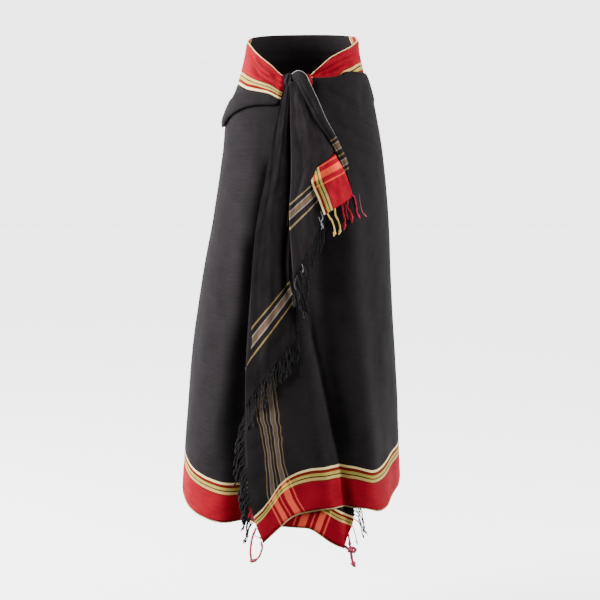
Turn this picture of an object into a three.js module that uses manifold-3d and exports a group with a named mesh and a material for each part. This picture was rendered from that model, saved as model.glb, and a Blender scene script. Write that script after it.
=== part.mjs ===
// Kikoy: a handwoven wrap cloth, worn as a long skirt. It goes once and a bit round, overlaps in front,
// and is knotted at the waist so that its two top corners hang down over the front.
// Millimetres, +Z up. The front faces -Y. The origin is the centre of the waist opening.
import * as THREE from 'three';
import { mergeVertices } from 'three/addons/utils/BufferGeometryUtils.js';
import Module from 'manifold-3d';

const wasm = await Module();
wasm.setup();

// Driving sizes
const clothThickness = 1.6;
const layerSpacing = 8;        // from the inner layer to the outer layer where they overlap in front
const roundness = 2.2;         // 2 is an ellipse, more is boxier
const edgeGap = 0.45;          // between a fringed edge and its fringe
const headingWidth = 3;        // the strip of knots that the fringe strands leave from
const strandPitch = 15;
const strandRadius = 1.7;
const strandSway = 0.06;
const wrapColumns = 58;
const wrapRows = 21;

// Half widths and depths of the wrapped skirt, level by level
const levels = [
  { z: 20, left: 118, right: 122, front: 90, back: 92 },
  { z: -50, left: 133, right: 136, front: 100, back: 102 },
  { z: -100, left: 147, right: 150, front: 118, back: 124 },
  { z: -160, left: 170, right: 166, front: 136, back: 146 },
  { z: -250, left: 180, right: 184, front: 150, back: 158 },
  { z: -400, left: 203, right: 198, front: 165, back: 172 },
  { z: -550, left: 231, right: 206, front: 178, back: 184 },
  { z: -700, left: 253, right: 215, front: 190, back: 194 },
  { z: -850, left: 266, right: 223, front: 201, back: 203 },
  { z: -1000, left: 278, right: 228, front: 211, back: 212 },
  { z: -1150, left: 288, right: 234, front: 220, back: 220 },
];

// Top edge and hem by angle. 0 is the front centre, and the cloth runs from its inner end at the front
// to the left side (-90), the back (-180), the right side (-270) and over the front again.
const topEdge = [
  { angle: 5, z: -62 }, { angle: -15, z: -57 }, { angle: -31, z: -30 }, { angle: -50, z: -8 },
  { angle: -70, z: 9 }, { angle: -90, z: 14 }, { angle: -130, z: 18 }, { angle: -180, z: 19 },
  { angle: -230, z: 20 }, { angle: -270, z: 19 }, { angle: -300, z: 9 }, { angle: -330, z: -12 },
  { angle: -345, z: -38 }, { angle: -353, z: -54 }, { angle: -375, z: -66 },
];
const hemEdge = [
  { angle: 27, z: -1143 }, { angle: 20, z: -1127 }, { angle: 9, z: -1092 }, { angle: 2, z: -1087 },
  { angle: -25, z: -1081 }, { angle: -38, z: -1088 }, { angle: -50, z: -1082 }, { angle: -62, z: -1070 },
  { angle: -75, z: -1054 }, { angle: -90, z: -1042 }, { angle: -120, z: -1032 }, { angle: -180, z: -1022 },
  { angle: -240, z: -1030 }, { angle: -275, z: -1044 }, { angle: -292, z: -1053 }, { angle: -304, z: -1064 },
  { angle: -314, z: -1063 }, { angle: -324, z: -1048 }, { angle: -343, z: -1041 }, { angle: -354, z: -1049 },
  { angle: -361, z: -1060 }, { angle: -367, z: -1086 }, { angle: -374.7, z: -1123 },
];

// Where the two ends of the cloth lie, by the share of the way down from the top edge to the hem
const ends = [
  { drop: 0, inner: 3, outer: -373 },
  { drop: 0.21, inner: 12, outer: -384 },
  { drop: 0.3, inner: 15, outer: -387.5 },
  { drop: 0.5, inner: 21, outer: -387 },
  { drop: 0.74, inner: 28, outer: -385.6 },
  { drop: 0.88, inner: 32.5, outer: -382.2 },
  { drop: 0.94, inner: 33, outer: -380.1 },
  { drop: 1, inner: 27, outer: -374.7 },
];

// Soft flutes: a ridge or trough that starts at one height and grows to its full depth at the hem
const flutes = [
  { topAngle: -363, hemAngle: -344, width: 9, depth: 9, from: -520 },
  { topAngle: -357, hemAngle: -334, width: 4, depth: -9, from: -560 },
  { topAngle: -345, hemAngle: -318, width: 12, depth: 12, from: -500 },
  { topAngle: -300, hemAngle: -288, width: 12, depth: -8, from: -600 },
  { topAngle: -245, hemAngle: -250, width: 12, depth: 10, from: -350 },
  { topAngle: -205, hemAngle: -208, width: 10, depth: -9, from: -400 },
  { topAngle: -165, hemAngle: -162, width: 12, depth: 10, from: -380 },
  { topAngle: -125, hemAngle: -120, width: 10, depth: -9, from: -420 },
  { topAngle: -60, hemAngle: -58, width: 16, depth: 6, from: -400 },
  { topAngle: -28, hemAngle: -26, width: 9, depth: -5, from: -450 },
];

// The lower lip of the tuck on the left hip, and the upper lip of the tuck on the right
const leftTuck = [
  { angle: -100, z: -176 }, { angle: -82, z: -168 }, { angle: -71, z: -147 },
  { angle: -57, z: -129 }, { angle: -43, z: -119 }, { angle: -19, z: -115 },
];
const rightTuck = [
  { angle: -351, z: -60 }, { angle: -325, z: -56 }, { angle: -316, z: -47 },
  { angle: -277, z: -58 }, { angle: -262, z: -64 },
];
const tuckDepth = 7;

// How far the top border is turned down on the outside, across the back
const turnDown = { firstAngle: -92, lastAngle: -278, fade: 30, height: 104, lift: 5 };

// Panels that hang in front. A row lies across the panel, along the weft: its left and right ends as
// x, z and the lift in front of the inner layer. fold is how far its middle stands forward.
const cascadePanel = [
  { leftX: -36, leftZ: -72, leftLift: 14, rightX: -18, rightZ: -74, rightLift: 22, fold: 2 },
  { leftX: -60, leftZ: -172, leftLift: 11, rightX: -24, rightZ: -168, rightLift: 16, fold: 10 },
  { leftX: -81, leftZ: -286, leftLift: 9, rightX: -22, rightZ: -262, rightLift: 13, fold: 15 },
  { leftX: -99, leftZ: -378, leftLift: 9, rightX: -22, rightZ: -338, rightLift: 12, fold: 17 },
  { leftX: -111, leftZ: -485, leftLift: 9, rightX: -24, rightZ: -420, rightLift: 12, fold: 17 },
  { leftX: -118, leftZ: -638, leftLift: 9, rightX: -25, rightZ: -512, rightLift: 12, fold: 16 },
  { leftX: -127, leftZ: -718, leftLift: 9, rightX: -14, rightZ: -552, rightLift: 13, fold: 13 },
  { leftX: -126, leftZ: -806, leftLift: 12, rightX: -2, rightZ: -624, rightLift: 14, fold: 8 },
];
const fanPanel = [
  { leftX: -28, leftZ: -72, leftLift: 30, rightX: 6, rightZ: -70, rightLift: 20, fold: 2 },
  { leftX: -30, leftZ: -134, leftLift: 32, rightX: 30, rightZ: -116, rightLift: 18, fold: 4 },
  { leftX: -31, leftZ: -206, leftLift: 33, rightX: 61, rightZ: -178, rightLift: 18, fold: 5 },
  { leftX: -32, leftZ: -278, leftLift: 34, rightX: 73, rightZ: -218, rightLift: 18, fold: 6 },
  { leftX: -32, leftZ: -343, leftLift: 34, rightX: 40, rightZ: -278, rightLift: 20, fold: 5 },
  { leftX: -33, leftZ: -399, leftLift: 33, rightX: 48, rightZ: -318, rightLift: 20, fold: 4 },
  { leftX: -25, leftZ: -519, leftLift: 30, rightX: 57, rightZ: -357, rightLift: 22, fold: 3 },
];
const borderCorner = [
  { leftX: 22, leftZ: -264, leftLift: 27, rightX: 76, rightZ: -225, rightLift: 24, fold: 4 },
  { leftX: 24, leftZ: -291, leftLift: 30, rightX: 98, rightZ: -266, rightLift: 25, fold: 5 },
  { leftX: 38, leftZ: -324, leftLift: 32, rightX: 110, rightZ: -298, rightLift: 25, fold: 5 },
  { leftX: 57, leftZ: -358, leftLift: 32, rightX: 117, rightZ: -323, rightLift: 25, fold: 4 },
];
// The rolled corner of the inner end: over the top edge from inside, then down across the fan
const rolledEnd = [
  { leftX: -20, leftZ: -78, leftLift: -7, rightX: 12, rightZ: -78, rightLift: -7, fold: 0 },
  { leftX: -20, leftZ: -50, leftLift: 2, rightX: 13, rightZ: -52, rightLift: 2, fold: 0 },
  { leftX: -18, leftZ: -44, leftLift: 16, rightX: 14, rightZ: -50, rightLift: 16, fold: 2 },
  { leftX: -12, leftZ: -66, leftLift: 30, rightX: 19, rightZ: -64, rightLift: 29, fold: 4 },
  { leftX: 4, leftZ: -98, leftLift: 32, rightX: 31, rightZ: -90, rightLift: 30, fold: 4 },
  { leftX: 41, leftZ: -160, leftLift: 29, rightX: 57, rightZ: -148, rightLift: 28, fold: 3 },
  { leftX: 67, leftZ: -198, leftLift: 27, rightX: 80, rightZ: -190, rightLift: 27, fold: 2 },
  { leftX: 92, leftZ: -250, leftLift: 18, rightX: 104, rightZ: -243, rightLift: 18, fold: 2 },
  { leftX: 102, leftZ: -286, leftLift: 17, rightX: 111, rightZ: -280, rightLift: 17, fold: 1 },
  { leftX: 121, leftZ: -318, leftLift: 18, rightX: 128, rightZ: -312, rightLift: 18, fold: 1 },
];
const rolledEndThickness = 7;
const knot = { x: -16, z: -74, lift: 14, halfWidth: 22, halfHeight: 20, halfDepth: 15 };

// Colours
const charcoalCloth = { color: 0x2a272a, roughness: 0.9 };
const redYarn = { color: 0xb51f2c, roughness: 0.9 };

const mix = (a, b, t) => a + (b - a) * t;
const clamp01 = (t) => Math.min(1, Math.max(0, t));
const easeInOut = (t) => clamp01(t) ** 2 * (3 - 2 * clamp01(t));
const radians = THREE.MathUtils.degToRad;
const degrees = THREE.MathUtils.radToDeg;

// A smooth curve through one column of a table, at a place in its key column
function lookUp(table, key, place, column) {
  const rising = table[1][key] > table[0][key] ? 1 : -1;
  const last = table.length - 1;
  if ((place - table[0][key]) * rising <= 0) return table[0][column];
  if ((place - table[last][key]) * rising >= 0) return table[last][column];
  let i = 0;
  while ((place - table[i + 1][key]) * rising > 0) i += 1;
  const slope = (j) => {
    const before = table[Math.max(0, j - 1)];
    const after = table[Math.min(last, j + 1)];
    return (after[column] - before[column]) / (after[key] - before[key]);
  };
  const span = table[i + 1][key] - table[i][key];
  const t = (place - table[i][key]) / span;
  const bend = t * (1 - t) * span;
  return mix(table[i][column], table[i + 1][column], t * t * (3 - 2 * t))
    + bend * ((1 - t) * slope(i) - t * slope(i + 1));
}

// Wobble that is the same on every run
const wobble = (seed) => {
  const value = Math.sin(seed * 12.9898 + 4.1414) * 43758.5453;
  return (value - Math.floor(value)) * 2 - 1;
};

function levelAt(z) {
  const level = {};
  for (const side of ['left', 'right', 'front', 'back']) level[side] = lookUp(levels, 'z', z, side);
  level.middle = (level.right - level.left) * 0.3;
  return level;
}

// Tucks and flutes: how far the wrapped cloth stands out at an angle and height
function relief(angle, z) {
  let out = 0;
  for (const flute of flutes) {
    const grown = clamp01((flute.from - z) / (flute.from - -1050));
    const centre = mix(flute.topAngle, flute.hemAngle, grown);
    out += flute.depth * easeInOut(grown) * Math.exp(-(((angle - centre) / flute.width) ** 2));
  }
  if (angle > -112 && angle < -12) {
    const above = z - lookUp(leftTuck, 'angle', angle, 'z');
    const share = easeInOut((angle + 112) / 24) * easeInOut((-12 - angle) / 8);
    if (above > -4) out += tuckDepth * share * easeInOut((above + 4) / 8) * Math.exp(-Math.max(0, above) / 45);
  }
  if (angle > -353 && angle < -255) {
    const below = lookUp(rightTuck, 'angle', angle, 'z') - z;
    const share = easeInOut((angle + 353) / 8) * easeInOut((-255 - angle) / 15);
    if (below > -4) out += tuckDepth * share * easeInOut((below + 4) / 8) * Math.exp(-Math.max(0, below) / 80);
  }
  return out;
}

// A point at an angle round the body and a height, standing out from the inner layer
function roundPoint(angle, z, lift) {
  const level = levelAt(z);
  const sine = Math.sin(radians(angle));
  const cosine = Math.cos(radians(angle));
  const reach = (Math.abs(sine) ** roundness + Math.abs(cosine) ** roundness) ** (-1 / roundness);
  const halfWidth = (sine < 0 ? level.left + level.middle : level.right - level.middle) + lift;
  const depth = (cosine > 0 ? level.front : level.back) + lift;
  return new THREE.Vector3(level.middle + halfWidth * reach * sine, -depth * reach * cosine, z);
}

// A point in front, by its x and height, standing out from the inner layer
function frontPoint(x, z, lift) {
  const level = levelAt(z);
  const halfWidth = x < level.middle ? level.left + level.middle : level.right - level.middle;
  const share = Math.min(0.999, Math.abs(x - level.middle) / halfWidth);
  const cosine = (1 - share ** roundness) ** (1 / roundness);
  const angle = degrees(Math.atan2(Math.sign(x - level.middle) * share, cosine)) - 360;
  const out = lift + relief(angle, z);
  return new THREE.Vector3(x, -(level.front + out) * cosine, z);
}

// The wrapped cloth: along runs from the inner end to the outer end, drop from the top edge to the hem
function wrapPoint(along, drop) {
  const angleAt = (share) => mix(lookUp(ends, 'drop', share, 'inner'), lookUp(ends, 'drop', share, 'outer'), along);
  const angle = angleAt(drop);
  const top = lookUp(topEdge, 'angle', angleAt(0), 'z');
  const hem = lookUp(hemEdge, 'angle', angleAt(1), 'z');
  const z = mix(top, hem, drop);
  return roundPoint(angle, z, layerSpacing * along + relief(angle, z));
}

// The border turned down over the top edge at the back
function turnDownPoint(along, drop) {
  const angle = mix(turnDown.firstAngle, turnDown.lastAngle, along);
  const fromEnd = Math.min(turnDown.firstAngle - angle, angle - turnDown.lastAngle);
  const height = turnDown.height * mix(0.12, 1, easeInOut(fromEnd / turnDown.fade));
  const top = lookUp(topEdge, 'angle', angle, 'z');
  const share = (3 - angle) / 376;
  const lift = layerSpacing * share + turnDown.lift * easeInOut(drop * height / 14) + relief(angle, top);
  return roundPoint(angle, top + 0.8 - drop * height, lift);
}

// A hanging panel from its table of rows
function panelPoint(rows) {
  const numbered = rows.map((row, index) => ({ ...row, index }));
  return (across, down) => {
    const at = (column) => lookUp(numbered, 'index', down * (rows.length - 1), column);
    const bulge = at('fold') * Math.sin(Math.PI * across);
    const lift = mix(at('leftLift'), at('rightLift'), across) + bulge;
    return frontPoint(mix(at('leftX'), at('rightX'), across), mix(at('leftZ'), at('rightZ'), across), lift);
  };
}

function surfaceNormal(point, u, v) {
  const step = 1e-3;
  const alongU = point(Math.min(1, u + step), v).sub(point(Math.max(0, u - step), v));
  const alongV = point(u, Math.min(1, v + step)).sub(point(u, Math.max(0, v - step)));
  return alongU.cross(alongV).normalize();
}

// Keep only positions, merge shared corners, and turn the faces outwards
function asClosed(geometry) {
  geometry.deleteAttribute('normal');
  geometry.deleteAttribute('uv');
  const merged = mergeVertices(geometry, 1e-4);
  const position = merged.getAttribute('position');
  const index = merged.getIndex();
  const corner = [new THREE.Vector3(), new THREE.Vector3(), new THREE.Vector3()];
  let volume = 0;
  for (let i = 0; i < index.count; i += 3) {
    corner.forEach((vertex, j) => vertex.fromBufferAttribute(position, index.getX(i + j)));
    volume += corner[0].dot(corner[1].clone().cross(corner[2]));
  }
  if (volume < 0) {
    for (let i = 0; i < index.count; i += 3) {
      const first = index.getX(i);
      index.setX(i, index.getX(i + 1));
      index.setX(i + 1, first);
    }
  }
  return merged;
}

// A thin box bent over a surface makes a sheet of cloth
function sheet(point, columns, rows, thickness, rowShare = (v) => v) {
  const geometry = new THREE.BoxGeometry(1, 1, 1, columns, rows, 1);
  const position = geometry.getAttribute('position');
  for (let i = 0; i < position.count; i += 1) {
    const u = position.getX(i) + 0.5;
    const v = rowShare(0.5 - position.getY(i));
    const place = point(u, v).addScaledVector(surfaceNormal(point, u, v), position.getZ(i) * thickness);
    position.setXYZ(i, place.x, place.y, place.z);
  }
  return asClosed(geometry);
}

function solid(geometry) {
  return new wasm.Manifold(new wasm.Mesh({
    numProp: 3,
    vertProperties: new Float32Array(geometry.getAttribute('position').array),
    triVerts: new Uint32Array(geometry.getIndex().array),
  }));
}

function meshOf(name, body, finish) {
  const result = body.getMesh();
  const geometry = new THREE.BufferGeometry();
  geometry.setAttribute('position', new THREE.BufferAttribute(new Float32Array(result.vertProperties), 3));
  geometry.setIndex(new THREE.BufferAttribute(new Uint32Array(result.triVerts), 1));
  geometry.computeVertexNormals();
  const mesh = new THREE.Mesh(geometry, new THREE.MeshStandardMaterial({ ...finish, metalness: 0 }));
  mesh.name = name;
  return mesh;
}

const joined = (bodies) => bodies.reduce((whole, body) => whole.add(body));

// The bunched cloth of the knot
function knotSolid() {
  const geometry = new THREE.SphereGeometry(1, 14, 10);
  const position = geometry.getAttribute('position');
  for (let i = 0; i < position.count; i += 1) {
    const x = position.getX(i);
    const y = position.getY(i);
    const z = position.getZ(i);
    const lump = 1 + 0.12 * Math.sin(5 * x + 3 * y) * Math.cos(4 * z);
    const place = frontPoint(knot.x + x * knot.halfWidth * lump, knot.z + y * knot.halfHeight * lump,
      knot.lift + z * knot.halfDepth * lump);
    position.setXYZ(i, place.x, place.y, place.z);
  }
  return solid(asClosed(geometry));
}

// One strand of fringe from its root. It droops from the way the edge faces, keeps a lean that way,
// and lies no deeper than its lift in front of the inner layer
function strandSolid(root, away, { length, lean = 0, lift }, seed) {
  const joints = 3;
  const hang = new THREE.Vector3(0, 0, -1).addScaledVector(away, lean);
  const geometry = new THREE.CylinderGeometry(strandRadius, strandRadius * 1.25, 1, 3, joints);
  const spine = [root.clone()];
  for (let i = 1; i <= joints; i += 1) {
    const share = i / joints;
    const way = away.clone().lerp(hang, easeInOut(share * 1.6));
    way.x += strandSway * wobble(seed + i);
    const next = spine[i - 1].clone().addScaledVector(way.normalize(), length / joints);
    if (lift !== undefined) next.y = Math.min(next.y, frontPoint(next.x, next.z, lift).y);
    spine.push(next);
  }
  const position = geometry.getAttribute('position');
  for (let i = 0; i < position.count; i += 1) {
    const step = Math.round((0.5 - position.getY(i)) * joints);
    const way = spine[Math.min(joints, step + 1)].clone().sub(spine[Math.max(0, step - 1)]).normalize();
    const side = new THREE.Vector3(0, 1, 0).cross(way).normalize();
    const out = way.clone().cross(side);
    const place = spine[step].clone().addScaledVector(side, position.getX(i)).addScaledVector(out, position.getZ(i));
    position.setXYZ(i, place.x, place.y, place.z);
  }
  return solid(asClosed(geometry));
}

// A fringe along the last row (or last column) of a sheet, from one share of that edge to another
function fringe(edge, from, to, { seed, ...hanging }) {
  const at = (share) => edge(mix(from, to, share));
  const start = at(0).place;
  let run = 0;
  const pieces = 24;
  for (let i = 1, last = start; i <= pieces; i += 1) {
    const next = at(i / pieces).place;
    run += next.distanceTo(last);
    last = next;
  }
  const count = Math.max(2, Math.round(run / strandPitch));
  const heading = new THREE.BoxGeometry(1, 1, 1, count, 1, 1);
  const position = heading.getAttribute('position');
  for (let i = 0; i < position.count; i += 1) {
    const { place, away, normal } = at(position.getX(i) + 0.5);
    place.addScaledVector(away, edgeGap + (0.5 - position.getY(i)) * headingWidth);
    place.addScaledVector(normal, position.getZ(i) * clothThickness);
    position.setXYZ(i, place.x, place.y, place.z);
  }
  const bodies = [solid(asClosed(heading))];
  for (let i = 0; i < count; i += 1) {
    const { place, away } = at((i + 0.5) / count);
    const root = place.addScaledVector(away, edgeGap + headingWidth * 0.6);
    const length = hanging.length * (1 + 0.14 * wobble(seed + i * 7));
    bodies.push(strandSolid(root, away, { ...hanging, length }, seed + i * 11));
  }
  return joined(bodies);
}

// The edge of a sheet where v is 1 (the last row) or u is 0 or 1 (an end of the cloth)
function edgeOf(point, side) {
  const corner = { bottom: (s) => [s, 1], start: (s) => [0, s], end: (s) => [1, s] }[side];
  const inward = { bottom: [0, -1], start: [1, 0], end: [-1, 0] }[side];
  return (share) => {
    const [u, v] = corner(share);
    const step = 2e-3;
    const place = point(u, v);
    const away = place.clone().sub(point(u + inward[0] * step, v + inward[1] * step)).normalize();
    return { place, away, normal: surfaceNormal(point, u, v) };
  };
}

const cascadePoint = panelPoint(cascadePanel);
const fanPoint = panelPoint(fanPanel);
const cornerPoint = panelPoint(borderCorner);
const rolledPoint = panelPoint(rolledEnd);
const denserAtTop = (v) => v ** 1.35;

const cloth = joined([
  solid(sheet(wrapPoint, wrapColumns, wrapRows, clothThickness, denserAtTop)),
  solid(sheet(turnDownPoint, 26, 5, clothThickness)),
  solid(sheet(cascadePoint, 8, 18, clothThickness)),
  solid(sheet(fanPoint, 8, 14, clothThickness)),
  solid(sheet(cornerPoint, 5, 5, clothThickness)),
  solid(sheet(rolledPoint, 4, 20, rolledEndThickness)),
  knotSolid(),
]);

const fringes = {
  cascade_fringe: [fringe(edgeOf(cascadePoint, 'bottom'), 0.03, 0.9, { length: 62, lift: 15, seed: 3 }), charcoalCloth],
  fan_fringe: [fringe(edgeOf(fanPoint, 'bottom'), 0.03, 0.82, { length: 60, lift: 25, seed: 5 }), charcoalCloth],
  border_corner_fringe: [fringe(edgeOf(cornerPoint, 'bottom'), 0, 1, { length: 54, lift: 26, seed: 8 }), redYarn],
  outer_end_fringe: [fringe(edgeOf(wrapPoint, 'end'), 0.74, 0.93, { length: 58, lean: 0.5, lift: 6, seed: 13 }), charcoalCloth],
  outer_corner_fringe: [fringe(edgeOf(wrapPoint, 'end'), 0.945, 1, { length: 60, lean: 0.5, lift: 6, seed: 21 }), redYarn],
  inner_end_fringe: [fringe(edgeOf(wrapPoint, 'start'), 0.6, 0.92, { length: 58, lean: 0.5, seed: 34 }), charcoalCloth],
  inner_corner_fringe: [fringe(edgeOf(wrapPoint, 'start'), 0.935, 1, { length: 60, lean: 0.5, seed: 55 }), redYarn],
};

const kikoy = new THREE.Group();
kikoy.add(meshOf('cloth', cloth, charcoalCloth));
for (const [name, [body, finish]] of Object.entries(fringes)) kikoy.add(meshOf(name, body, finish));

export default kikoy;
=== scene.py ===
import math
import bmesh
import bpy
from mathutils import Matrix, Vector, noise


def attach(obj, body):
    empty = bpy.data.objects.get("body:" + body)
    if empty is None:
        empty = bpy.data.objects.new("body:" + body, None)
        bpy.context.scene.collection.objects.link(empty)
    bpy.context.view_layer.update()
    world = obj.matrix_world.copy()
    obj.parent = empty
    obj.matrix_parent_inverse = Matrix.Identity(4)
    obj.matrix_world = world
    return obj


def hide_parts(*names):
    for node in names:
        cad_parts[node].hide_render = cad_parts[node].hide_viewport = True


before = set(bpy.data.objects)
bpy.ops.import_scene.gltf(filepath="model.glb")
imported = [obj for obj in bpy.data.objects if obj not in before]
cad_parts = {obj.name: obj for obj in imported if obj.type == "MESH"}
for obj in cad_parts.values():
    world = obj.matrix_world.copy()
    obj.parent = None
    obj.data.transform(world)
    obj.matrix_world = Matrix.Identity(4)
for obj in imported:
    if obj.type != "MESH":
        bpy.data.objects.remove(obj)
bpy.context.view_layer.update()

# Kikoy: a handwoven cotton wrap cloth worn as a long skirt, knotted at the waist.
# Sizes here are millimetres unless a name says otherwise, and meshes are made in metres.

mm = 0.001


def mix(a, b, t):
    return a + (b - a) * t


def ease(t):
    t = min(1.0, max(0.0, t))
    return t * t * (3 - 2 * t)


def lookUp(table, place, column):  # smooth curve through one column, keyed by column 0
    rising = 1 if table[1][0] > table[0][0] else -1
    last = len(table) - 1
    if (place - table[0][0]) * rising <= 0:
        return table[0][column]
    if (place - table[last][0]) * rising >= 0:
        return table[last][column]
    i = 0
    while (place - table[i + 1][0]) * rising > 0:
        i += 1

    def slope(j):
        before = table[max(0, j - 1)]
        after = table[min(last, j + 1)]
        return (after[column] - before[column]) / (after[0] - before[0])

    span = table[i + 1][0] - table[i][0]
    t = (place - table[i][0]) / span
    bend = t * (1 - t) * span
    straight = mix(table[i][column], table[i + 1][column], ease(t))
    return straight + bend * ((1 - t) * slope(i) - t * slope(i + 1))


def numbered(rows):  # so that a list of rows can be looked up by its place in the list
    return [(index,) + tuple(row) for index, row in enumerate(rows)]


def nearLine(points, x, z):  # gap to a line of points, and how far along it that is, from 0 to 1
    best = (1e9, 0.0)
    steps = len(points) - 1
    for i in range(steps):
        (x1, z1), (x2, z2) = points[i], points[i + 1]
        t = ((x - x1) * (x2 - x1) + (z - z1) * (z2 - z1)) / ((x2 - x1) ** 2 + (z2 - z1) ** 2)
        t = min(1.0, max(0.0, t))
        gap = math.hypot(x - mix(x1, x2, t), z - mix(z1, z2, t))
        best = min(best, (gap, (i + t) / steps))
    return best


def wobble(seed):  # -1 to 1, the same on every run
    value = math.sin(seed * 12.9898 + 4.1414) * 43758.5453
    return (value - math.floor(value)) * 2 - 1


# The body of the wrapped skirt
skirt = {
    "thickness": 1.5,
    "layerSpacing": 8,
    "roundness": 2.2,
    "sideShift": 0.3,  # how far the middle follows the wider side
    "fluteEnd": -1050,
    "columns": 300,
    "rows": 152,
    "lipRow": 34,
    "angleRows": 60,  # rows under the lip over which the border stops following the top edge
    "denserEnds": 0.35,
    # height, half widths to the left and right, depths to the front and back
    "levels": [
        (20, 118, 122, 90, 92), (-50, 133, 136, 100, 102), (-100, 147, 150, 118, 124),
        (-160, 170, 166, 136, 146), (-250, 180, 184, 150, 158), (-400, 203, 198, 165, 172),
        (-550, 231, 206, 178, 184), (-700, 253, 215, 190, 194), (-850, 266, 223, 201, 203),
        (-1000, 278, 228, 211, 212), (-1150, 288, 234, 220, 220),
    ],
    # angle and height; 0 is the front centre, -90 the left side, -180 the back, -270 the right side
    "topEdge": [
        (5, -62), (-15, -57), (-31, -30), (-50, -8), (-70, 9), (-90, 14), (-130, 18), (-180, 19),
        (-230, 20), (-270, 19), (-300, 9), (-330, -12), (-345, -38), (-353, -54), (-375, -66),
    ],
    "hemEdge": [
        (27, -1143), (20, -1127), (9, -1092), (2, -1087), (-25, -1081), (-38, -1088), (-50, -1082),
        (-62, -1070), (-75, -1054), (-90, -1042), (-120, -1032), (-180, -1022), (-240, -1030),
        (-275, -1044), (-292, -1053), (-304, -1064), (-314, -1063), (-324, -1048), (-343, -1041),
        (-354, -1049), (-361, -1060), (-367, -1086), (-374.7, -1123),
    ],
    # share of the drop, angle of the inner end, angle of the outer end
    "ends": [
        (0, 3, -373), (0.21, 12, -384), (0.3, 15, -387.5), (0.5, 21, -387), (0.74, 28, -385.6),
        (0.88, 32.5, -382.2), (0.94, 33, -380.1), (1, 27, -374.7),
    ],
    # angle at the top, angle at the hem, width in degrees, how far it stands out, height it starts at
    "flutes": [
        (-363, -344, 9, 9, -520), (-357, -334, 4, -9, -560), (-345, -318, 12, 12, -500),
        (-300, -288, 12, -9, -600), (-245, -250, 12, 13, -350), (-205, -208, 10, -13, -400),
        (-165, -162, 12, 13, -380), (-125, -120, 10, -12, -420), (-60, -58, 16, 6, -400),
        (-28, -26, 9, -5, -450),
    ],
    "rightTuck": [(-351, -60), (-325, -56), (-316, -47), (-277, -58), (-262, -64)],
    # where each tuck starts, the degrees it grows over, where it ends, the degrees it fades over
    "leftSpan": (-118, 30, -12, 8),
    "rightSpan": (-353, 8, -255, 15),
    "tuckDepth": 7,
    "tuckFade": (50, 80),  # how softly the left and the right tuck run out above and below their lips
    "tuckRun": 20,
    "rowSpacing": 1.08,  # above 1 the rows lie a little closer under the tuck
    "foldSteps": 0.6,  # steps of the folded profiles below for each row
    "unevenness": (1.6, 0.5),  # broad and fine
    "unevenSpan": (70, 210),  # about and down the cloth
    "finer": 3.1,
    # the inner end follows the folds of the layer over it: share of the cloth, from which x and how softly
    "follows": (0.2, -40, 60),
}

# Where the coloured border lies: angle, height that it takes up under the top edge (gathered at the knot)
borderHeight = [(5, 46), (-19, 52), (-40, 70), (-60, 86), (-90, 96), (-120, 100), (-375, 100)]
# Right of the knot the border runs into the tuck: angle, share of the cloth's width reached at its lip
tuckReach = [
    (-353, 44), (-335, 66), (-325, 73), (-315, 79), (-305, 85), (-293, 93), (-277, 99), (-255, 106),
]
# Height of the border at the hem, which turns under a little towards the outer corner
hemBorder = [
    (27, 70), (12, 64), (0, 72), (-15, 91), (-200, 97), (-300, 104), (-345, 98), (-359, 92), (-366, 80),
    (-371, 66), (-375, 58),
]
# The border folded over to the outside across the back: its angles, and how softly it starts and stops
turnDown = {
    "first": -103, "last": -260, "fadeLeft": 10, "fadeRight": 24, "height": 108, "endShare": 0.12,
    "above": 0.8, "lift": 5, "liftSpan": 12, "grid": (190, 26), "unevenness": 1.2, "unevenAngle": 9,
    "unevenRows": 2.5,
}

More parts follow.
